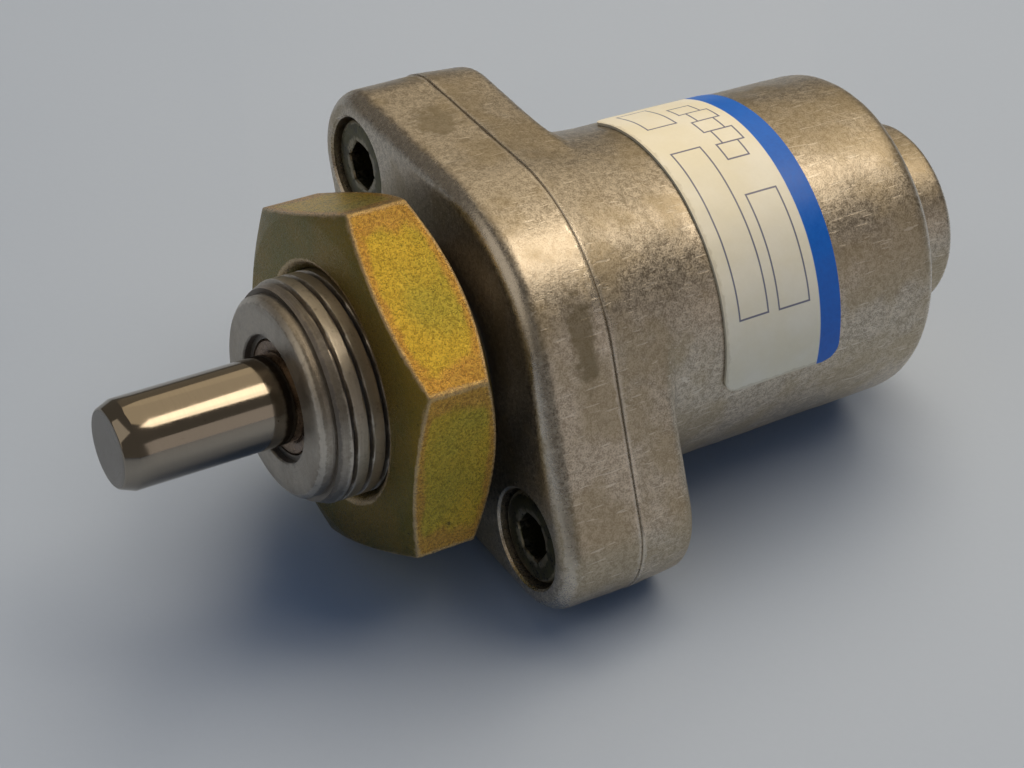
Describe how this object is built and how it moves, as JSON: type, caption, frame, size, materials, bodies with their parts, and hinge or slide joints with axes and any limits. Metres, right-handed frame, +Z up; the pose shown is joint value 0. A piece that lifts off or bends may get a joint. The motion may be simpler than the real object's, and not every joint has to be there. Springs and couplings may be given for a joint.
{
  "type": "single-acting pneumatic cylinder",
  "caption": "Short push-type air cylinder with a threaded nose and hex nut, a two-bolt flange cap, a spring-returned rod and a rear air port.",
  "frame": {"origin": "on the rod axis, in the plane of the front cap's mounting face", "axes": "+X along the rod towards its tip, +Z up as the cylinder lies on a bench with one straight side of its flange level below it"},
  "size_m": [0.0828, 0.0454, 0.0346],
  "materials": {
    "cast_alloy": "die-cast, tumbled and handled, with olive stains",
    "chrome_rod": "ground and polished, a few pits",
    "yellow_zinc": "yellow passivated zinc, pink at the edges",
    "dark_zinc": "dark greenish zinc",
    "bronze": "sintered, oily",
    "plain_steel": "bright zinc",
    "spring_wire": "drawn wire, oiled",
    "turned_alloy": "turned",
    "black_rubber": "moulded",
    "guide_plastic": "natural acetal",
    "label_film": "cream film with a blue band and bare outlined boxes"
  },
  "bodies": {
    "cylinder_body": {"housing": "cast_alloy", "front_cap": "cast_alloy", "cap_seal": "black_rubber", "cap_screws": "dark_zinc", "rod_bush": "bronze", "front_buffer": "black_rubber", "rear_buffer": "black_rubber", "spring_seat": "plain_steel", "return_spring": "spring_wire", "type_label": "label_film"},
    "nut_body": {"mounting_nut": "yellow_zinc"},
    "sliding_rings": {"piston_seal": "black_rubber", "guide_ring": "guide_plastic"},
    "rod_body": {"piston": "turned_alloy", "piston_washer": "plain_steel", "piston_nut": "plain_steel", "stud_seal": "black_rubber", "piston_rod": "chrome_rod"}
  },
  "joints": [
    {"name": "rod_slide", "type": "slide", "parent": "cylinder_body", "child": "sliding_rings", "axis": [1, 0, 0], "range_m": [0, 0.02], "stiffness_N_per_m": 500, "springref_m": -0.028, "deforming": ["return_spring"]},
    {"name": "rod_turn", "type": "hinge", "parent": "sliding_rings", "child": "rod_body", "pos_m": [0, 0, 0], "axis": [1, 0, 0], "continuous": true},
    {"name": "nut_turn", "type": "hinge", "parent": "cylinder_body", "child": "nut_body", "pos_m": [0.007, 0, 0], "axis": [1, 0, 0], "continuous": true}
  ]
}
